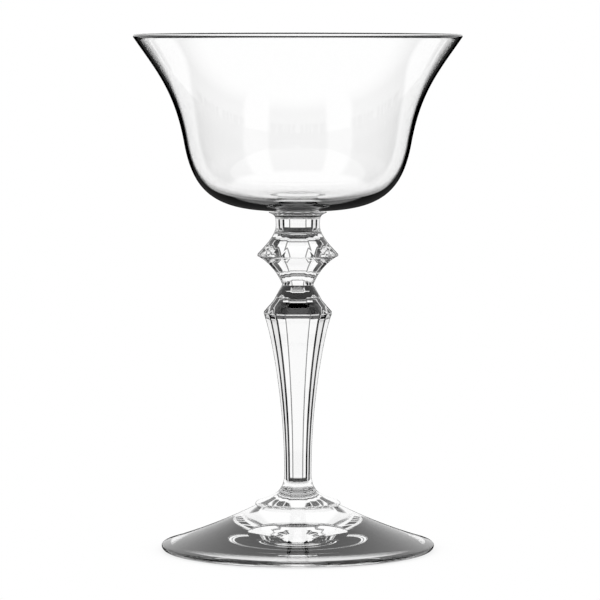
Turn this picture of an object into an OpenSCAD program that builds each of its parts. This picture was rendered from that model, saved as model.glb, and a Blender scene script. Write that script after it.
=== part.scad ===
// Coupe glass: a thin flared bowl on a many-sided pressed stem with a low conical foot.
// Lengths are in millimetres, +Z is up, and the origin is the centre of the resting face.

/* [Bowl] */
// Outer diameter of the bowl at its lip
lip_d = 98; // [88:0.2:110]
// Height of the bowl from its underside to the lip
bowl_h = 52.4; // [44:0.1:62]
// Outer diameter where the flared lip runs into the side
side_d = 67.8; // [60:0.2:76]
// Height of that place above the bowl's underside
side_h = 20.2; // [17:0.1:24]
// How far the wall leans out at the lip, in degrees from upright
lip_lean = 34.5; // [26:0.5:42]
// How far the wall leans out at the side, in degrees from upright
side_lean = 10.2; // [6:0.2:14]
// Thickness of the glass at the lip
lip_t = 1.2; // [0.8:0.05:1.8]
// Thickness of the glass at the side
side_t = 1.3; // [0.9:0.05:2.2]
// Thickness of the glass in the middle of the floor
floor_t = 1.8; // [1.2:0.1:3.5]

/* [Button] */
// Diameter of the button that joins the bowl to the stem
button_d = 14.2; // [11:0.1:16]
// Height of the button
button_h = 0.45; // [0.3:0.05:1]
// How far the button's edge is drawn in at mid height
button_waist = 0.2; // [0.05:0.05:0.5]

/* [Stem head and knop] */
// Diameter of the thin round edge at the top of the stem
head_d = 17.2; // [16.5:0.1:20]
// Thickness of that edge
head_t = 0.25; // [0.15:0.05:0.5]
// Height from the upper neck to that edge
head_h = 3.5; // [2.5:0.1:5]
// Width of the upper neck across its wide faces
upper_neck_w = 13.1; // [10.5:0.1:15]
// Width of the knop across its wide faces
knop_w = 24.2; // [20:0.1:28]
// Height of the knop's upper slope
knop_top_h = 9.2; // [7:0.1:12]
// Height of the knop's lower slope
knop_low_h = 8.9; // [7:0.1:12]
// Width of the waist under the knop across its wide faces
waist_w = 9.25; // [7:0.05:11.5]

/* [Stem shaft and collar] */
// Height of the neck between the waist and the shoulder
lower_neck_h = 4.8; // [3:0.1:7]
// Width across the wide faces where the neck meets the shoulder
lower_neck_w = 14.4; // [12.5:0.1:17]
// Height of the shoulder's slope
shoulder_h = 3.5; // [2.5:0.1:5]
// Width of the shoulder across its wide faces
shoulder_w = 20.4; // [18:0.1:24]
// Height of the tapering shaft
shaft_h = 47.4; // [38:0.1:58]
// Width of the shaft across its wide faces at its foot
ankle_w = 8.1; // [6.5:0.1:10]
// Height of the flare from the shaft to the collar's edge
flare_h = 9.8; // [7:0.1:12]
// Diameter of the collar's round edge
collar_d = 25.6; // [24.8:0.1:30]
// Height of the collar's rounded edge
collar_t = 0.7; // [0.5:0.1:1.2]
// Diameter of the face on which the collar sits on the foot
seat_d = 24.4; // [20:0.1:25]
// Angle that each of the four wide faces takes up, in degrees
wide_face = 41; // [36:0.5:46]
// Angle that each of the four corner faces takes up, in degrees
corner_face = 15; // [10:0.5:20]

/* [Foot] */
// Diameter of the foot
foot_d = 81.7; // [72:0.1:90]
// Height of the foot from the table to the collar's seat
foot_h = 13.2; // [10:0.1:16]
// Radius of the foot's edge above its widest place
edge_r = 0.5; // [0.3:0.1:0.9]
// Radius of the foot's edge below its widest place
heel_r = 1.2; // [0.7:0.1:1.8]
// How far the foot's slope sags below a straight line
foot_sag = 0.7; // [0:0.1:1.2]
// Width of the flat ring on which the glass stands
ring_w = 2.2; // [1.5:0.1:4]
// Depth of the hollow under the foot
hollow_h = 2.4; // [1:0.1:3]

/* [Colour] */
// Clear glass of every piece
glass_colour = [0.86, 0.92, 0.94, 0.45];

/* [Hidden] */
round_steps = 120;
curve_steps = 20;
stem_steps = 12;
edge_steps = 6;

// Heights of the stem's stations above the table, from the foot up
collar_z = foot_h + collar_t;
shaft_z = collar_z + flare_h;
shoulder_z = shaft_z + shaft_h;
lower_neck_z = shoulder_z + shoulder_h;
waist_z = lower_neck_z + lower_neck_h;
knop_z = waist_z + knop_low_h;
upper_neck_z = knop_z + knop_top_h;
head_z = upper_neck_z + head_h;
button_z = head_z + head_t;
bowl_z = button_z + button_h;
lip_z = bowl_z + bowl_h;
side_z = bowl_z + side_h;

// Handle lengths of the curves, as shares of the spans that they bend over
lip_pull_share = 0.37;
side_up_share = 0.5;
side_down_share = 0.68;
side_inner_share = 0.87;
floor_pull_share = 0.7;
floor_inner_share = 0.7;
knop_top_shares = [0.36, 0.4];
knop_low_shares = [0.45, 0.3];
head_shares = [0.82, 0.9];
shaft_shares = [0.12, 0.44];
flare_shares = [0.75, 0.6];
collar_crown_share = 0.35;
hollow_share = 0.76;
slope_share = 1 / 3;
sag_share = 4 / 3;

// Directions in which the curves leave their ends, in degrees from upright
knop_top_lean = 41;
knop_low_lean = 65;
waist_lean = 16;
shaft_lean = 22;
ankle_lean = 3;
flare_lean = 71;
head_lean = 66;

// A cubic curve between two points, with its two handle points
function bend(a, b, c, d, steps) = [
    for (i = [0 : steps])
        let (t = i / steps, s = 1 - t)
            s * s * s * a + 3 * s * s * t * b + 3 * s * t * t * c + t * t * t * d
];

// A point at a distance from another, towards a lean from straight down; outward is positive
function down(p, lean, reach) = [p[0] + reach * sin(lean), p[1] - reach * cos(lean)];

// A point at a distance from another, towards a lean from straight up; outward is positive
function up(p, lean, reach) = [p[0] + reach * sin(lean), p[1] + reach * cos(lean)];

// The bowl's wall from the lip to the floor, at a given place of the lip, side and floor
function wall(lip, side, floor_end, drop_share, pull_share) = concat(
    bend(
        lip,
        down(lip, -lip_lean, lip_pull_share * (lip[1] - side[1])),
        up(side, side_lean, side_up_share * (lip[1] - side[1])),
        side,
        curve_steps
    ),
    bend(
        side,
        down(side, -side_lean, drop_share * (side[1] - floor_end[1])),
        [floor_end[0] + pull_share * (side[0] - floor_end[0]), floor_end[1]],
        floor_end,
        curve_steps
    )
);

// Points of a round edge between two angles
function arc(centre, radius, from, to) = [
    for (i = [0 : edge_steps])
        let (a = from + (to - from) * i / edge_steps)
            centre + radius * [cos(a), sin(a)]
];

module turned(outline) {
    rotate_extrude($fn = round_steps) polygon(outline);
}

// Blown bowl with a rounded lip and a slightly thicker floor
module bowl() {
    lip_r = lip_t / 2;
    lip_centre = [lip_d / 2 - lip_r, lip_z - lip_r];
    out_lip = lip_centre + lip_r * [cos(lip_lean), -sin(lip_lean)];
    in_lip = lip_centre - lip_r * [cos(lip_lean), -sin(lip_lean)];
    outer = wall(out_lip, [side_d / 2, side_z], [button_d / 2, bowl_z], side_down_share, floor_pull_share);
    inner_side = [side_d / 2 - side_t, side_z];
    inner = wall(in_lip, inner_side, [0, bowl_z + floor_t], side_inner_share, floor_inner_share);
    lip = arc(lip_centre, lip_r, 180 - lip_lean, -lip_lean);
    color(glass_colour) turned(concat(
        [[0, bowl_z]],
        [for (i = [len(outer) - 1 : -1 : 0]) if (i != curve_steps + 1) outer[i]],
        [for (i = [edge_steps - 1 : -1 : 1]) lip[i]],
        [for (i = [0 : len(inner) - 1]) if (i != curve_steps + 1) inner[i]]
    ));
}

// Small button of glass that welds the bowl to the stem
module button() {
    r = button_d / 2;
    waist = r - button_waist;
    color(glass_colour) turned(concat(
        [[0, button_z]],
        bend([r, button_z], [waist, button_z], [waist, bowl_z], [r, bowl_z], edge_steps),
        [[0, bowl_z]]
    ));
}

// Faces of one quarter of the stem: where each starts and ends, and its columns of points
side_face_end = 45 - corner_face / 2;
quarter = [
    [-wide_face / 2, wide_face / 2, 3],
    [wide_face / 2, side_face_end, 2],
    [side_face_end, 90 - side_face_end, 2],
    [90 - side_face_end, 90 - wide_face / 2, 2]
];

// Columns round the stem: direction, and reach compared with half the width across the wide faces
columns = [
    for (k = [0 : 3])
        for (f = quarter)
            for (j = [0 : f[2] - 1])
                let (
                    a = f[0] + (f[1] - f[0]) * j / f[2],
                    reach = cos((f[1] - f[0]) / 2) / cos(a - (f[0] + f[1]) / 2) / cos(wide_face / 2)
                )
                    [a + 90 * k, reach]
];

// A solid from rings of half width, height and facet share, from the bottom up
module faceted(rings) {
    n = len(columns);
    last = len(rings) - 1;
    points = [
        for (r = rings)
            for (c = columns)
                let (reach = r[0] * (1 + r[2] * (c[1] - 1)))
                    [reach * cos(c[0]), reach * sin(c[0]), r[1]]
    ];
    skin = [
        for (i = [0 : last - 1])
            for (j = [0 : n - 1])
                let (k = (j + 1) % n)
                    [i * n + j, (i + 1) * n + j, (i + 1) * n + k, i * n + k]
    ];
    under = [[for (j = [0 : n - 1]) j]];
    over = [[for (j = [n - 1 : -1 : 0]) last * n + j]];
    polyhedron(points = points, faces = concat(under, skin, over), convexity = 6);
}

// Rings along a curve, with the facet share fading towards one end by a power
function rings(points, from, to, power) = [
    for (i = [0 : len(points) - 1])
        let (t = i / (len(points) - 1))
            [points[i][0], points[i][1], from + (to - from) * pow(t, power)]
];

// Everything but the first point, so that joined curves share it once
function rest(list) = [for (i = [1 : len(list) - 1]) list[i]];

// Pressed stem: collar, shaft, shoulder, neck, knop and head in one piece
module stem() {
    collar = [collar_d / 2, collar_z];
    ankle = [ankle_w / 2, shaft_z];
    shoulder = [shoulder_w / 2, shoulder_z];
    neck = [lower_neck_w / 2, lower_neck_z];
    waist = [waist_w / 2, waist_z];
    knop = [knop_w / 2, knop_z];
    upper = [upper_neck_w / 2, upper_neck_z];
    head = [head_d / 2, head_z];
    seat = [seat_d / 2, foot_h];
    edge = bend(
        seat,
        [collar[0], foot_h],
        [collar[0], foot_h + collar_t * (1 - collar_crown_share)],
        collar,
        edge_steps
    );
    flare = bend(
        collar,
        up(collar, -flare_lean, flare_shares[1] * (collar[0] - ankle[0])),
        down(ankle, -ankle_lean, flare_shares[0] * flare_h),
        ankle,
        stem_steps
    );
    shaft = bend(
        ankle,
        up(ankle, 0, shaft_shares[1] * shaft_h),
        down(shoulder, -shaft_lean, shaft_shares[0] * shaft_h),
        shoulder,
        stem_steps
    );
    knop_low = bend(
        waist,
        up(waist, waist_lean, knop_low_shares[1] * knop_low_h),
        down(knop, -knop_low_lean, knop_low_shares[0] * knop_low_h),
        knop,
        stem_steps
    );
    knop_top = bend(
        knop,
        up(knop, -knop_top_lean, knop_top_shares[0] * knop_top_h),
        down(upper, 0, knop_top_shares[1] * knop_top_h),
        upper,
        stem_steps
    );
    top = bend(
        upper,
        up(upper, 0, head_shares[0] * head_h),
        down(head, -head_lean, head_shares[1] * (head[0] - upper[0])),
        head,
        stem_steps
    );
    color(glass_colour) faceted(concat(
        rings(edge, 0, 0, 1),
        rest(rings(flare, 0, 1, 0.15)),
        rest(rings(shaft, 1, 1, 1)),
        [[neck[0], neck[1], 1], [waist[0], waist[1], 1]],
        rest(rings(knop_low, 1, 1, 1)),
        rest(rings(knop_top, 1, 1, 1)),
        rest(rings(top, 1, 0, 4)),
        [[head[0], button_z, 0]]
    ));
}

// Foot: low cone with a rounded edge, standing on a ring round a shallow hollow
module foot() {
    edge = [foot_d / 2 - edge_r, heel_r];
    heel = [foot_d / 2 - heel_r, heel_r];
    seat = [seat_d / 2, foot_h];
    run = edge[0] - seat[0];
    rise = seat[1] - edge[1];
    slope = atan2(rise, run) - asin(edge_r / norm([run, rise]));
    brow = edge + edge_r * [sin(slope), cos(slope)];
    reach = slope_share * (seat - brow);
    sag = [0, sag_share * foot_sag];
    ring_in = heel[0] - ring_w;
    color(glass_colour) turned(concat(
        bend([0, hollow_h], [hollow_share * ring_in, hollow_h], [hollow_share * ring_in, hollow_h], [ring_in, 0], curve_steps),
        arc(heel, heel_r, -90, 0),
        rest(arc(edge, edge_r, 0, 90 - slope)),
        rest(bend(brow, brow + reach - sag, seat - reach - sag, seat, curve_steps)),
        [[0, foot_h]]
    ));
}

bowl();
button();
stem();
foot();
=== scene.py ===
# %% [markdown]
# # A coupe glass
#
# This lesson builds a clear coupe: a thin blown bowl with a flared lip, a small button of glass under
# it, a many-sided pressed stem and a low conical foot. Clear glass has no colour of its own, so nearly
# everything that we see is the room, bent by the surface. Two things decide the picture: curves without
# any flaw, and a studio that gives the glass something dark to show at its edges.

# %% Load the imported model
import math

import bmesh
import bpy
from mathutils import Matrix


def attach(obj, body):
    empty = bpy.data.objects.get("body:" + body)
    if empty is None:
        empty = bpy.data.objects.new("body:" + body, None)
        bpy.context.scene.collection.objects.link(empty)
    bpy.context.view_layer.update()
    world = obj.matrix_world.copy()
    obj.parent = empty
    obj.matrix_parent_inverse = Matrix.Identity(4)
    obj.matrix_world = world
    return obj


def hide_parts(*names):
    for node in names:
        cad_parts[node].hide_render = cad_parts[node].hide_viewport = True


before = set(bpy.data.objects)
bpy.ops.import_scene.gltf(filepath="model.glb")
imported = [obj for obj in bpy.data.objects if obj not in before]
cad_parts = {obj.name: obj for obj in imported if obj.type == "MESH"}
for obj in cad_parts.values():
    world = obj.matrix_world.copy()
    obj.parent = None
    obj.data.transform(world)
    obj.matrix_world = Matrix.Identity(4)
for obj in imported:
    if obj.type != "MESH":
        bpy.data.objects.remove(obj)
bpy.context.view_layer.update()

MM_PER_M = 1000


# %% [markdown]
# ## Levels
#
# A glass is measured from the table up. These are the heights at which one form ends and the next
# begins. They could be read off the solids, but the lesson is easier to follow with the numbers in it,
# and they are those of the part's own source. All outlines are in millimetres, as (distance from the
# axis, height), and become metres only when a mesh is made.

# %% Levels
FOOT_H = 13.2
COLLAR_Z = 13.9
ANKLE_Z = 23.7
SHOULDER_Z = 71.1
NECK_Z = 74.6
WAIST_Z = 79.4
KNOP_Z = 88.3
UPPER_NECK_Z = 97.5
HEAD_Z = 101.0
BUTTON_Z = 101.25
BOWL_Z = 101.7
SIDE_Z = 121.9
LIP_Z = 154.1
print("stem from", FOOT_H, "to", BUTTON_Z, "mm, bowl from", BOWL_Z, "to", LIP_Z, "mm")

# %% [markdown]
# ## Curves
#
# Every outline of the glass is a chain of cubic curves, given by two end points and the directions in
# which the curve leaves them. It could be drawn by hand with a curve object, but the same formula is in
# the part's own source, so repeating it here keeps the fine mesh exactly on the solid. A corner gets a
# simpler curve of its own, which has the corner as its only handle.

# %% Curve helpers
def bend(a, b, c, d, steps):
    """Points of a cubic curve from a to d with the handle points b and c."""
    points = []
    for i in range(steps + 1):
        t = i / steps
        s = 1 - t
        points.append(tuple(
            s**3 * a[k] + 3 * s * s * t * b[k] + 3 * s * t * t * c[k] + t**3 * d[k]
            for k in range(2)
        ))
    return points


def soften(a, corner, b, t):
    """A point of the small curve that rounds a corner, at the share t of the way from a to b."""
    return tuple(
        (1 - t) ** 2 * p + 2 * t * (1 - t) * q + t * t * r for p, q, r in zip(a, corner, b)
    )


def down(p, lean, reach):
    """A point below p, on a line that leans outwards by a number of degrees."""
    angle = math.radians(lean)
    return (p[0] + reach * math.sin(angle), p[1] - reach * math.cos(angle))


def up(p, lean, reach):
    """A point above p, on a line that leans outwards by a number of degrees."""
    angle = math.radians(lean)
    return (p[0] + reach * math.sin(angle), p[1] + reach * math.cos(angle))


def arc(centre, radius, start, end, steps):
    """Points of a round edge between two angles."""
    angles = [math.radians(start + (end - start) * i / steps) for i in range(steps + 1)]
    return [(centre[0] + radius * math.cos(a), centre[1] + radius * math.sin(a)) for a in angles]


print("middle of a bend:", bend((0, 0), (0, 1), (1, 2), (1, 3), 2)[1])

# %% [markdown]
# ## Turned pieces
#
# The bowl, the button and the foot are round. A screw modifier could turn an outline into a surface, but
# a few lines of mesh code give us control over two things that matter in glass: which edges stay sharp,
# and which faces are welds. Where two pieces of hot glass were joined, the glass runs through without a
# surface, so the faces that meet there get a second material that lets light pass straight on.

# %% A mesh from rings
def closed_mesh(name, rings, welds, creases):
    """A closed mesh from rings of points, where a ring of one point is a pole.

    The bands of faces numbered in welds get the second material, and the rings numbered in creases
    stay sharp.
    """
    mesh = bmesh.new()
    rows = [[mesh.verts.new([v / MM_PER_M for v in p]) for p in ring] for ring in rings]
    for i, (low, high) in enumerate(zip(rows, rows[1:])):
        count = max(len(low), len(high))
        for j in range(count):
            k = (j + 1) % count
            corners = [low[j % len(low)], low[k % len(low)], high[k % len(high)], high[j % len(high)]]
            face = mesh.faces.new(list(dict.fromkeys(corners)))
            face.material_index = 1 if i in welds else 0
            face.smooth = True
    for i in creases:
        for j, vert in enumerate(rows[i]):
            mesh.edges.get((vert, rows[i][(j + 1) % len(rows[i])])).smooth = False
    bmesh.ops.recalc_face_normals(mesh, faces=mesh.faces)
    data = bpy.data.meshes.new(name)
    mesh.to_mesh(data)
    mesh.free()
    piece = bpy.data.objects.new(name, data)
    bpy.context.scene.collection.objects.link(piece)
    print(name, len(data.vertices), "points,", len(data.polygons), "faces")
    return piece


# %% Turning an outline
ON_AXIS = 1e-6


def turned(outline, around):
    """Rings of points for an outline turned round the axis."""
    angles = [2 * math.pi * j / around for j in range(around)]
    rings = []
    for r, z in outline:
        if r < ON_AXIS:
            rings.append([(0, 0, z)])
        else:
            rings.append([(r * math.cos(a), r * math.sin(a), z) for a in angles])
    return rings


print("a pole and a ring of six:", [len(ring) for ring in turned([(0, 0), (1, 0)], 6)])

# %% [markdown]
# ## The bowl
#
# A blown bowl is thin at the lip, which a flame has melted round, and grows thicker towards the floor.
# The outer and the inner wall are two chains of curves. Their distance is what draws the dark line round
# a glass: the wall bends light away from the bright background, so a thicker wall gives a wider line.
# Leans are in degrees. Reaches and drops are shares of the height that a curve spans, and the pull is a
# share of its width.

# %% Bowl
LIP_D = 98.0
LIP_T = 1.2
LIP_LEAN = 34.5
LIP_REACH = 0.37
SIDE_D = 67.8
SIDE_T = 1.3
SIDE_LEAN = 10.2
SIDE_REACH = 0.5
OUTER_DROP = 0.68
INNER_DROP = 0.87
FLOOR_T = 1.8
FLOOR_PULL = 0.7
BUTTON_D = 14.2
ROUND_COUNT = 224


def wall(lip, side, floor_end, drop):
    """One face of the bowl, from the lip down over the side to the floor."""
    upper, lower = lip[1] - side[1], side[1] - floor_end[1]
    flared = bend(
        lip,
        down(lip, -LIP_LEAN, LIP_REACH * upper),
        up(side, SIDE_LEAN, SIDE_REACH * upper),
        side,
        steps=44,
    )
    rounded = bend(
        side,
        down(side, -SIDE_LEAN, drop * lower),
        (floor_end[0] + FLOOR_PULL * (side[0] - floor_end[0]), floor_end[1]),
        floor_end,
        steps=48,
    )
    return flared + rounded[1:]


lip_centre = (LIP_D / 2 - LIP_T / 2, LIP_Z - LIP_T / 2)
lip_edge = arc(lip_centre, LIP_T / 2, -LIP_LEAN, 180 - LIP_LEAN, steps=14)
outer_wall = wall(lip_edge[0], (SIDE_D / 2, SIDE_Z), (BUTTON_D / 2, BOWL_Z), OUTER_DROP)
inner_wall = wall(lip_edge[-1], (SIDE_D / 2 - SIDE_T, SIDE_Z), (0, BOWL_Z + FLOOR_T), INNER_DROP)
bowl_outline = [(0, BOWL_Z)] + outer_wall[::-1] + lip_edge[1:-1] + inner_wall
bowl = closed_mesh("blown_bowl", turned(bowl_outline, ROUND_COUNT), welds=[0], creases=[1])

# %% [markdown]
# ## The button
#
# Between bowl and stem sits a drop of glass no thicker than half a millimetre. It could be left out and
# hardly be missed, but it is a piece of glass of its own, and it shows as a fine shadow line. It is drawn
# in slightly at mid height.

# %% Button
BUTTON_PULL = 0.2
BUTTON_COUNT = 160
button_r = BUTTON_D / 2
pulled_r = button_r - BUTTON_PULL
button_side = bend(
    (button_r, BUTTON_Z), (pulled_r, BUTTON_Z), (pulled_r, BOWL_Z), (button_r, BOWL_Z), steps=12
)
button_outline = [(0, BUTTON_Z)] + button_side + [(0, BOWL_Z)]
button_top = len(button_side)
button = closed_mesh(
    "weld_button",
    turned(button_outline, BUTTON_COUNT),
    welds=[0, button_top],
    creases=[1, button_top],
)

# %% [markdown]
# ## The stem
#
# The stem was pressed in a mould with sixteen flat faces: four wide ones, four narrow ones on the
# corners, and eight between them. All run from the head through knop, neck and shaft to the collar.
# Each ring of the mesh is the same sixteen-sided figure at another size. A bevel modifier could round its
# ridges, but the ridges are what glints in glass, so their rounding is drawn directly: a tiny curve with
# a holding column on either side, so that the faces between them stay flat and mirror like panes.

# %% Ridges of the stem
WIDE_FACE = 41.0
CORNER_FACE = 15.0
RIDGE_R = 0.5
RIDGE_SHARE = 0.36
ridge_angles = []
for quarter in range(4):
    for angle in (WIDE_FACE / 2, 45 - CORNER_FACE / 2, 45 + CORNER_FACE / 2, 90 - WIDE_FACE / 2):
        ridge_angles.append(angle + 90 * quarter)


def ridge_cut(length):
    """How far the rounding of a ridge reaches into a face of a given length."""
    return min(RIDGE_R, RIDGE_SHARE * length)


def way_to(p, q):
    """The distance from p to q, and the direction as a step of length 1."""
    length = math.dist(p, q)
    return length, tuple((b - a) / length for a, b in zip(p, q))


def along(p, way, far):
    """The point at a distance from p in a direction."""
    return tuple(a + b * far for a, b in zip(p, way))


print(len(ridge_angles), "ridges, at", ridge_angles[:4], "degrees and so on")

# %% Section of the stem
RIDGE_STEPS = 6
HOLD = 1.15
WIDE_FROM = 0.6
WIDE_COLUMNS = 7
NARROW_COLUMNS = 3


def faceted(half):
    """Points round the stem where it is flat-sided; half is half of its width over the wide faces."""
    reach = half / math.cos(math.radians(WIDE_FACE / 2))
    around = [math.radians(angle) for angle in ridge_angles]
    ridges = [(reach * math.cos(a), reach * math.sin(a)) for a in around]
    points = []
    for i, ridge in enumerate(ridges):
        back_length, back = way_to(ridge, ridges[i - 1])
        length, ahead = way_to(ridge, ridges[(i + 1) % len(ridges)])
        back_cut, cut = ridge_cut(back_length), ridge_cut(length)
        start, end = along(ridge, back, back_cut), along(ridge, ahead, cut)
        points.append(along(ridge, back, back_cut * HOLD))
        for n in range(RIDGE_STEPS + 1):
            points.append(soften(start, ridge, end, n / RIDGE_STEPS))
        points.append(along(ridge, ahead, cut * HOLD))
        columns = WIDE_COLUMNS if length > WIDE_FROM * reach else NARROW_COLUMNS
        flat = length - 2 * cut * HOLD
        for n in range(1, columns + 1):
            points.append(along(ridge, ahead, cut * HOLD + flat * n / (columns + 1)))
    return points


def section(half, share):
    """Points round the stem, from round, with a share of 0, to flat-sided, with a share of 1."""
    ring = []
    for x, y in faceted(half):
        r = math.hypot(x, y)
        new_r = half + share * (r - half)
        ring.append((x * new_r / r, y * new_r / r))
    return ring


print("section:", len(section(half=5, share=1)), "points a ring")

# %% [markdown]
# The outline of the stem is a chain of curves too, with a third number for each point that says how
# flat-sided the stem is there: the head and the collar's edge are round, all the rest is faceted. Where
# two curves meet in a corner, such as the knop's edge, the mould leaves a rounding of a fraction of a
# millimetre. It is drawn as the ridges are.

# %% Outline helpers
SOFT_STEPS = 6
SOFT_HOLD = 0.5


def fading(points, start, end, power=1):
    """Adds to each point of a curve how flat-sided the stem is there, from 0 to 1."""
    last = len(points) - 1
    return [(r, z, start + (end - start) * (i / last) ** power) for i, (r, z) in enumerate(points)]


def trimmed(points, reach):
    """A curve without its first stretch of a given length."""
    for i in range(1, len(points)):
        span = math.dist(points[i - 1][:2], points[i][:2])
        if span > reach:
            t = reach / span
            start = tuple(p + (q - p) * t for p, q in zip(points[i - 1], points[i]))
            return [start] + points[i:]
        reach -= span
    return points[-1:]


def chained(curves, roundings):
    """Joins curves end to end, with a small rounding at each corner."""
    chain = list(curves[0])
    for curve, size in zip(curves[1:], roundings):
        if size == 0:
            chain += curve[1:]
            continue
        back, front = trimmed(chain[::-1], size), trimmed(curve, size)
        start, end = back[0], front[0]
        soft = [soften(start, curve[0], end, n / SOFT_STEPS) for n in range(1, SOFT_STEPS)]
        hold_back, hold_front = trimmed(back, size * SOFT_HOLD), trimmed(front, size * SOFT_HOLD)
        chain = hold_back[::-1] + [start] + soft + [end] + hold_front
    return chain


def swept(start, end, lower, upper, steps):
    """A curve upwards from start to end, with a lean in degrees and a reach in mm at either end."""
    return bend(start, up(start, *lower), down(end, *upper), end, steps)


print("half of a straight line:", trimmed([(0, 0), (0, 2)], 1))

# %% [markdown]
# Now the forms of the stem, from the foot up. Each corner point is (half width over the wide faces,
# level). Each curve between two of them has a lean at its lower and its upper end, and reaches that are
# shares of its own height or width, so that it keeps its character when a level moves.

# %% Curves of the stem
seat = (12.2, FOOT_H)
collar = (12.8, COLLAR_Z)
ankle = (4.05, ANKLE_Z)
shoulder = (10.2, SHOULDER_Z)
neck = (7.2, NECK_Z)
waist = (4.625, WAIST_Z)
knop = (12.1, KNOP_Z)
upper_neck = (6.55, UPPER_NECK_Z)
head = (8.6, HEAD_Z)
COLLAR_BULGE = 0.65
collar_h = COLLAR_Z - FOOT_H
flare_w, flare_h = collar[0] - ankle[0], ANKLE_Z - COLLAR_Z
shaft_h = SHOULDER_Z - ANKLE_Z
knop_low_h, knop_top_h = KNOP_Z - WAIST_Z, UPPER_NECK_Z - KNOP_Z
head_w, head_h = head[0] - upper_neck[0], HEAD_Z - UPPER_NECK_Z
collar_edge = bend(
    seat, (collar[0], FOOT_H), (collar[0], FOOT_H + COLLAR_BULGE * collar_h), collar, steps=10
)
flare = swept(collar, ankle, lower=(-71, 0.6 * flare_w), upper=(-3, 0.75 * flare_h), steps=30)
shaft = swept(ankle, shoulder, lower=(0, 0.44 * shaft_h), upper=(-22, 0.12 * shaft_h), steps=40)
shoulder_slope = bend(shoulder, shoulder, neck, neck, steps=4)
neck_slope = bend(neck, neck, waist, waist, steps=4)
knop_low = swept(
    waist, knop, lower=(16, 0.3 * knop_low_h), upper=(-65, 0.45 * knop_low_h), steps=24
)
knop_top = swept(
    knop, upper_neck, lower=(-41, 0.36 * knop_top_h), upper=(0, 0.4 * knop_top_h), steps=24
)
head_flare = swept(upper_neck, head, lower=(0, 0.82 * head_h), upper=(-66, 0.9 * head_w), steps=20)
print("shaft", round(shaft_h, 2), "mm long, knop", 2 * knop[0], "mm wide")

# %% Stem
COLLAR_FADE = 0.15
HEAD_FADE = 4
CORNER_ROUNDING = {
    "collar": 0.25,
    "ankle": 0,
    "shoulder": 0.25,
    "neck": 0.25,
    "waist": 0.2,
    "knop": 0.12,
    "upper neck": 0,
    "head": 0,
}
stem_outline = chained(
    [
        fading(collar_edge, 0, 0),
        fading(flare, 0, 1, COLLAR_FADE),
        fading(shaft, 1, 1),
        fading(shoulder_slope, 1, 1),
        fading(neck_slope, 1, 1),
        fading(knop_low, 1, 1),
        fading(knop_top, 1, 1),
        fading(head_flare, 1, 0, HEAD_FADE),
        [(head[0], HEAD_Z, 0), (head[0], BUTTON_Z, 0)],
    ],
    CORNER_ROUNDING.values(),
)
stem_rings = [[(0, 0, FOOT_H)]]
stem_rings += [[(x, y, z) for x, y in section(r, share)] for r, z, share in stem_outline]
around_head = [math.atan2(y, x) for x, y, z in stem_rings[-1]]
weld_ring = [(button_r * math.cos(a), button_r * math.sin(a), BUTTON_Z) for a in around_head]
stem_rings += [weld_ring, [(0, 0, BUTTON_Z)]]
top = len(stem_rings) - 1
stem = closed_mesh(
    "pressed_stem",
    stem_rings,
    welds=[0, top - 1],
    creases=[1, top - 3, top - 2, top - 1],
)

# %% [markdown]
# ## The foot
#
# The foot is a low solid cone with a rounded edge. It stands on a narrow ring, because a slightly
# hollowed underside can't rock on a table. That hollow is a mirror: light that comes in through the cone
# meets it so flat that all of it is thrown back up, and the foot shows the stem upside down. The cone
# sags a little. A cubic curve sags by three quarters of what its handles drop, so they drop by more.

# %% Foot
FOOT_D = 81.7
EDGE_R = 0.5
HEEL_R = 1.2
RING_W = 2.2
HOLLOW_H = 2.4
HOLLOW_FLAT = 0.76
FOOT_SAG = 0.7
edge_centre = (FOOT_D / 2 - EDGE_R, HEEL_R)
heel_centre = (FOOT_D / 2 - HEEL_R, HEEL_R)
run, rise = edge_centre[0] - seat[0], seat[1] - edge_centre[1]
slope = math.degrees(math.atan2(rise, run) - math.asin(EDGE_R / math.hypot(run, rise)))
ring_in = heel_centre[0] - RING_W
hollow_handle = (HOLLOW_FLAT * ring_in, HOLLOW_H)
hollow = bend((0, HOLLOW_H), hollow_handle, hollow_handle, (ring_in, 0), steps=36)
heel = arc(heel_centre, HEEL_R, -90, 0, steps=16)
foot_edge = heel + arc(edge_centre, EDGE_R, 0, 90 - slope, steps=18)[1:]
brow = foot_edge[-1]
handle_drop = FOOT_SAG * 4 / 3
third = [(q - p) / 3 for p, q in zip(brow, seat)]
low_handle = (brow[0] + third[0], brow[1] + third[1] - handle_drop)
high_handle = (seat[0] - third[0], seat[1] - third[1] - handle_drop)
cone = bend(brow, low_handle, high_handle, seat, steps=30)
foot_outline = hollow + foot_edge + cone[1:] + [(0, FOOT_H)]
foot_top = len(foot_outline) - 2
foot = closed_mesh(
    "cone_foot",
    turned(foot_outline, ROUND_COUNT),
    welds=[foot_top],
    creases=[len(hollow) - 1, foot_top],
)
print("slope of the cone:", round(slope, 1), "degrees")

# %% [markdown]
# ## Glass
#
# Good glass isn't perfectly even. Blown glass keeps long soft waves from the pipe, pressed glass keeps
# the faint texture of the mould, and fingers and dust leave a breath of haze. One node group makes both
# effects, a wavy height and a changing roughness, and each glass uses it with its own values.

# %% Waves and haze
WAVE_DETAIL = 1.0
HAZE_DETAIL = 4.0
HAZE_FROM = 0.45
HAZE_TO = 0.8


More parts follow.
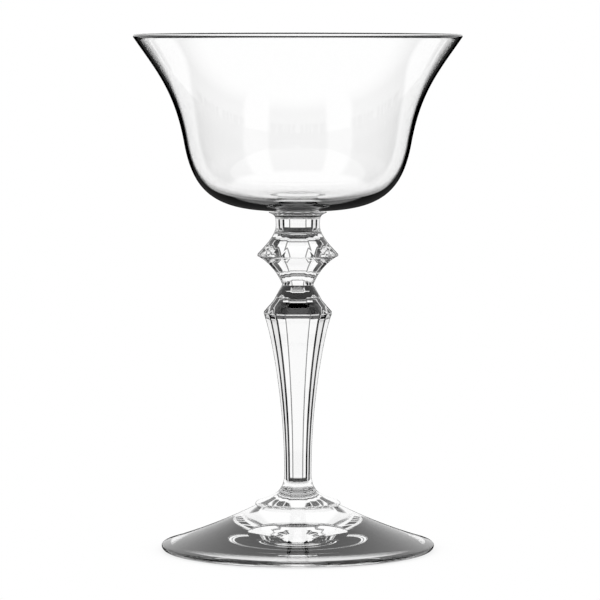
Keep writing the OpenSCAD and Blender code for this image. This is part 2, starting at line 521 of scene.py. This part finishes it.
def melt_group():
    """A node group for the height of soft waves and a roughness that changes over the surface."""
    group = bpy.data.node_groups.new("Melt waves and haze", "ShaderNodeTree")
    sockets = group.interface
    for name, value in (("Wave scale", 60.0), ("Haze scale", 90.0), ("Haze", 0.02)):
        socket = sockets.new_socket(name=name, in_out="INPUT", socket_type="NodeSocketFloat")
        socket.default_value = value
    for name in ("Height", "Roughness"):
        sockets.new_socket(name=name, in_out="OUTPUT", socket_type="NodeSocketFloat")
    nodes, links = group.nodes, group.links
    given, made = nodes.new("NodeGroupInput"), nodes.new("NodeGroupOutput")
    place = nodes.new("ShaderNodeTexCoord")
    waves, haze = nodes.new("ShaderNodeTexNoise"), nodes.new("ShaderNodeTexNoise")
    for noise, detail in ((waves, WAVE_DETAIL), (haze, HAZE_DETAIL)):
        noise.inputs["Detail"].default_value = detail
        links.new(place.outputs["Object"], noise.inputs["Vector"])
    links.new(given.outputs["Wave scale"], waves.inputs["Scale"])
    links.new(given.outputs["Haze scale"], haze.inputs["Scale"])
    links.new(waves.outputs["Fac"], made.inputs["Height"])
    patches = nodes.new("ShaderNodeMapRange")
    patches.inputs["From Min"].default_value = HAZE_FROM
    patches.inputs["From Max"].default_value = HAZE_TO
    links.new(haze.outputs["Fac"], patches.inputs["Value"])
    amount = nodes.new("ShaderNodeMath")
    amount.operation = "MULTIPLY"
    links.new(patches.outputs["Result"], amount.inputs[0])
    links.new(given.outputs["Haze"], amount.inputs[1])
    links.new(amount.outputs[0], made.inputs["Roughness"])
    return group


melt = melt_group()
print("node group:", melt.name)

# %% [markdown]
# The shader itself is a Principled BSDF with full transmission. Its index of refraction, 1.52, is that of
# soda-lime glass. The weld is a Principled BSDF with no opacity: light goes on as if nothing were there.

# %% Glass and weld
CLEAR = (1.0, 1.0, 1.0, 1.0)
GLASS_IOR = 1.52


def glass(name, wave_scale, wave_depth, haze):
    """Clear glass with its own waves, whose depth is in metres, and its own haze."""
    material = bpy.data.materials.new(name)
    material.use_nodes = True
    nodes, links = material.node_tree.nodes, material.node_tree.links
    shader = nodes["Principled BSDF"]
    shader.inputs["Base Color"].default_value = CLEAR
    shader.inputs["IOR"].default_value = GLASS_IOR
    shader.inputs["Transmission Weight"].default_value = 1.0
    effect = nodes.new("ShaderNodeGroup")
    effect.node_tree = melt
    effect.inputs["Wave scale"].default_value = wave_scale
    effect.inputs["Haze"].default_value = haze
    bump = nodes.new("ShaderNodeBump")
    bump.inputs["Distance"].default_value = wave_depth
    links.new(effect.outputs["Height"], bump.inputs["Height"])
    links.new(effect.outputs["Roughness"], shader.inputs["Roughness"])
    links.new(bump.outputs["Normal"], shader.inputs["Normal"])
    return material


def weld_through():
    """The place where two pieces were joined hot: no surface is left there."""
    material = bpy.data.materials.new("welded_through")
    material.use_nodes = True
    shader = material.node_tree.nodes["Principled BSDF"]
    shader.inputs["Base Color"].default_value = CLEAR
    shader.inputs["Alpha"].default_value = 0.0
    return material


blown = glass("blown_glass", wave_scale=45.0, wave_depth=0.000008, haze=0.01)
pressed = glass("pressed_glass", wave_scale=150.0, wave_depth=0.000001, haze=0.01)
spun = glass("spun_glass", wave_scale=60.0, wave_depth=0.000005, haze=0.01)
weld = weld_through()
print("finishes:", blown.name, pressed.name, spun.name, weld.name)

# %% [markdown]
# Every piece takes the place of its solid and gets its glass first and the weld second. A glass has no
# moving part, so all of them ride on the same body.

# %% Dressing the pieces
for piece, finish, node, slot in (
    (bowl, blown, "bowl", "bowl_glass"),
    (button, pressed, "button", "stem_glass"),
    (stem, pressed, "stem", "stem_glass"),
    (foot, spun, "foot", "foot_glass"),
):
    piece.data.materials.append(finish)
    piece.data.materials.append(weld)
    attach(piece, "root")
    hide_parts(node)
    print(piece.name, "replaces", node, "in", finish.name)

# %% [markdown]
# ## The studio
#
# Glass is photographed in a bright field: a lit white sheet stands behind it, and black cards give its
# edges something dark to show. Lamps and real cards could do that for one camera. Here the world does
# it, with a pattern that is mirrored every eighth of a turn, so the glass has dark edges from all sides.
#
# Light that only passed through the glass sees a white field with black posts standing round it and,
# behind the glass, a black card near the floor and another overhead. Reflected light sees a room with a
# dark horizon and white sides. From inside the glass the room also has a row of black slats above the
# horizon, which draw the facets of the collar. The lists below hold pairs of degrees and a grey, and for
# the slats the degrees at which each begins and ends.

# %% Patterns of the studio
FOLD = 45
POSTS = [
    (0, 1.0), (4, 1.0), (5.5, 0.2), (9, 0.2), (11, 1.0), (17, 1.0), (18, 0.0), (24.5, 0.0),
    (25.5, 0.85), (28, 0.85), (29, 0.0), (39, 0.0), (40.5, 0.85), (FOLD, 0.9),
]
CARD_HEIGHT = [(-90, 0.0), (-16, 0.0), (-13, 1.0), (38, 1.0), (40, 0.0), (90, 0.0)]
CARD_TURN = [(0, 0.0), (22, 0.0), (27, 1.0), (180, 1.0)]
ROOM = [
    (-90, 1.0), (-50, 1.0), (-44, 0.15), (-33, 0.3), (-24, 0.5), (-20, 0.0), (0, 0.0), (2, 1.0),
    (90, 1.0),
]
SHEEN = [
    (-90, 1.0), (-45, 1.0), (-40, 0.05), (-12, 0.05), (-10, 0.0), (-1, 0.0), (1, 1.0), (90, 1.0),
]
SIDES = [(0, 0.0), (28, 0.0), (33, 1.0), (FOLD, 1.0)]
SLAT_HEIGHT = [(-90, 0.0), (11, 0.0), (12, 1.0), (25, 1.0), (26, 0.0), (90, 0.0)]
SLAT_SPANS = [(2.6, 6.3), (7.7, 11.0), (12.2, 14.7), (16.2, 22.0), (24.0, 31.0)]
SLAT_BLUR = 0.3
print("posts:", len(POSTS), "stops; slats:", len(SLAT_SPANS), "in each", FOLD, "degrees")

# %% [markdown]
# The world is a small program of nodes. Three helpers write it down like sums: one makes a Math node,
# one looks up a grey for an angle, and one chooses between two values.

# %% Node helpers
def put(tree, socket, value):
    """Sets a socket to a number, or links another socket to it."""
    if isinstance(value, (int, float)):
        socket.default_value = value
    else:
        tree.links.new(value, socket)


def math_node(tree, operation, *values):
    """One Math node with numbers or sockets in it."""
    node = tree.nodes.new("ShaderNodeMath")
    node.operation = operation
    for socket, value in zip(node.inputs, values):
        put(tree, socket, value)
    return node.outputs[0]


def grey_ramp(tree, value, stops):
    """A ramp of greys over a value in degrees."""
    low, high = stops[0][0], stops[-1][0]
    ramp = tree.nodes.new("ShaderNodeValToRGB")
    elements = ramp.color_ramp.elements
    while len(elements) < len(stops):
        elements.new(0.5)
    for stop, (degrees, grey) in zip(elements, stops):
        stop.position = (degrees - low) / (high - low)
        stop.color = (grey, grey, grey, 1)
    share = math_node(tree, "MULTIPLY_ADD", value, 1 / (high - low), -low / (high - low))
    tree.links.new(share, ramp.inputs["Fac"])
    return ramp.outputs["Color"]


def blend(tree, share, first, second):
    """The first value where share is 0, the second where it is 1."""
    mix = tree.nodes.new("ShaderNodeMix")
    for i, value in ((0, share), (2, first), (3, second)):
        put(tree, mix.inputs[i], value)
    return mix.outputs[0]


def spans_to_stops(spans, blur, end):
    """Stops of a ramp that is 1 inside each span of degrees and 0 between them."""
    stops = [(0, 0.0)]
    for low, high in spans:
        stops += [(low - blur, 0.0), (low + blur, 1.0), (high - blur, 1.0), (high + blur, 0.0)]
    return stops + [(end, 0.0)]


print("first slat:", spans_to_stops(SLAT_SPANS[:1], SLAT_BLUR, FOLD))

# %% [markdown]
# Light Path tells the rays apart by counting. A ray that was never reflected only passed. A reflected
# ray that was never let through comes from the outside of the glass. One that was let through four times
# or more has mostly crossed both walls of the hollow bowl. It sees white, which keeps the bowl clear. But
# a reflected ray that has met more than six surfaces sees black in any case. The counts are whole
# numbers, so each limit lies halfway between two of them.

# %% World
NEVER = 0.5
BOTH_WALLS = 3.5
DEEPEST = 6.5
DEGREES = 180 / math.pi


def directions(tree):
    """The height of a ray over the horizon and its turn round the glass, in degrees."""
    place, split = tree.nodes.new("ShaderNodeTexCoord"), tree.nodes.new("ShaderNodeSeparateXYZ")
    tree.links.new(place.outputs["Generated"], split.inputs[0])
    x, y, z = split.outputs
    height = math_node(tree, "MULTIPLY", math_node(tree, "ARCSINE", z), DEGREES)
    turn = math_node(tree, "MULTIPLY", math_node(tree, "ARCTAN2", x, y), DEGREES)
    return height, turn


def passed_light(tree, height, turn, folded):
    """A white field with black posts round it and two black cards behind the glass."""
    beside = grey_ramp(tree, math_node(tree, "ABSOLUTE", turn), CARD_TURN)
    cards = math_node(tree, "MAXIMUM", grey_ramp(tree, height, CARD_HEIGHT), beside)
    return math_node(tree, "MULTIPLY", grey_ramp(tree, folded, POSTS), cards)


def reflected_light(tree, height, folded, outside):
    """A dark horizon, with slats over it for light from inside the glass."""
    slats = grey_ramp(tree, folded, spans_to_stops(SLAT_SPANS, SLAT_BLUR, FOLD))
    slats = math_node(tree, "MULTIPLY", slats, grey_ramp(tree, height, SLAT_HEIGHT))
    gaps = math_node(tree, "SUBTRACT", 1.0, slats)
    room = math_node(tree, "MULTIPLY", grey_ramp(tree, height, ROOM), gaps)
    return blend(tree, outside, room, grey_ramp(tree, height, SHEEN))


def studio_world():
    """Plain white for the camera, and the patterns of the studio for all other rays."""
    world = bpy.data.worlds.new("studio")
    world.use_nodes = True
    tree = world.node_tree
    tree.nodes.clear()
    out, light = tree.nodes.new("ShaderNodeOutputWorld"), tree.nodes.new("ShaderNodeBackground")
    tree.links.new(light.outputs[0], out.inputs[0])
    light.inputs["Color"].default_value = (1, 1, 1, 1)
    rays = tree.nodes.new("ShaderNodeLightPath").outputs
    height, turn = directions(tree)
    folded = math_node(tree, "PINGPONG", turn, FOLD)
    through_bowl = math_node(tree, "GREATER_THAN", rays["Transmission Depth"], BOTH_WALLS)
    passed = math_node(tree, "MAXIMUM", passed_light(tree, height, turn, folded), through_bowl)
    outside = math_node(tree, "LESS_THAN", rays["Transmission Depth"], NEVER)
    sides = math_node(tree, "MAXIMUM", grey_ramp(tree, folded, SIDES), through_bowl)
    reflected = reflected_light(tree, height, folded, outside)
    reflected = math_node(tree, "MAXIMUM", reflected, sides)
    shallow = math_node(tree, "LESS_THAN", rays["Ray Depth"], DEEPEST)
    reflected = math_node(tree, "MULTIPLY", reflected, shallow)
    only_passed = math_node(tree, "LESS_THAN", rays["Glossy Depth"], NEVER)
    seen = blend(tree, only_passed, reflected, passed)
    tree.links.new(blend(tree, rays["Is Camera Ray"], seen, 1.0), light.inputs["Strength"])
    return world


scene = bpy.context.scene
scene.world = studio_world()
print("world:", len(scene.world.node_tree.nodes), "nodes")

# %% [markdown]
# A ray needs many turns to find its way out of a stem with sixteen faces, so the limits on bounces are
# raised. The view transform is the standard one, which shows white as white.

# %% Render settings
BOUNCES = 24
scene.view_settings.view_transform = "Standard"
scene.cycles.max_bounces = BOUNCES
scene.cycles.transmission_bounces = BOUNCES
scene.cycles.glossy_bounces = BOUNCES
scene.cycles.transparent_max_bounces = BOUNCES
print("view:", scene.view_settings.view_transform, "bounces:", scene.cycles.max_bounces)

# %% [markdown]
# ## Floor
#
# The glass stands on a plain white floor that runs on without a line into the white background. The floor
# keeps a faint painted shadow close to the foot: its glow is dimmed by how little of the sky each of its
# points sees. Rays that have passed through the glass ignore it and look at the studio instead.

# %% Floor
FLOOR_HALF = 3.0
FLOOR_DROP = 0.0002
SHADOW_REACH = 0.012
SHADOW_DEPTH = 0.2


def floor_with_painted_shadow():
    """White glowing floor with a faint painted shadow where something stands close above it."""
    material = bpy.data.materials.new("white_floor")
    material.use_nodes = True
    tree = material.node_tree
    tree.nodes.clear()
    out, glow = tree.nodes.new("ShaderNodeOutputMaterial"), tree.nodes.new("ShaderNodeEmission")
    tree.links.new(glow.outputs[0], out.inputs["Surface"])
    glow.inputs["Color"].default_value = (1, 1, 1, 1)
    # Painted shadow: ambient occlusion close to the foot dims the floor's glow; no light is blocked.
    sky = tree.nodes.new("ShaderNodeAmbientOcclusion")
    sky.inputs["Distance"].default_value = SHADOW_REACH
    strength = math_node(tree, "MULTIPLY_ADD", sky.outputs["AO"], SHADOW_DEPTH, 1 - SHADOW_DEPTH)
    tree.links.new(strength, glow.inputs["Strength"])
    return material


floor_mesh = bmesh.new()
bmesh.ops.create_grid(floor_mesh, x_segments=1, y_segments=1, size=FLOOR_HALF)
floor_data = bpy.data.meshes.new("floor")
floor_mesh.to_mesh(floor_data)
floor_mesh.free()
floor = bpy.data.objects.new("floor", floor_data)
scene.collection.objects.link(floor)
floor.location.z = -FLOOR_DROP
floor.visible_glossy = floor.visible_transmission = floor.visible_diffuse = False
floor_data.materials.append(floor_with_painted_shadow())
print("floor:", floor.dimensions.x, "m wide")

# %% [markdown]
# ## Camera
#
# The photograph was taken from about 1.2 m away with a long lens, from slightly above the lip and tilted
# down by 4.5 degrees: the lip is almost a line, and the foot shows a flat ellipse. The axis of the glass
# lies a few pixels beside the middle of the picture. Distances here are in metres.

# %% Camera
PITCH = 4.485
CAMERA_FAR = 1.160
CAMERA_HIGH = 0.1658
PICTURE_PX = 600
FOCUS_PX = 3893.0
BESIDE_PX = 2.2
SENSOR_MM = 36.0
lens = bpy.data.cameras.new("camera")
lens.sensor_width = SENSOR_MM
lens.lens = FOCUS_PX / PICTURE_PX * SENSOR_MM
camera = bpy.data.objects.new("camera", lens)
scene.collection.objects.link(camera)
camera.location = (0, -CAMERA_FAR, CAMERA_HIGH)
camera.rotation_euler = (math.radians(90 - PITCH), 0, -math.atan(BESIDE_PX / FOCUS_PX))
scene.camera = camera
print("lens:", round(lens.lens, 1), "mm")
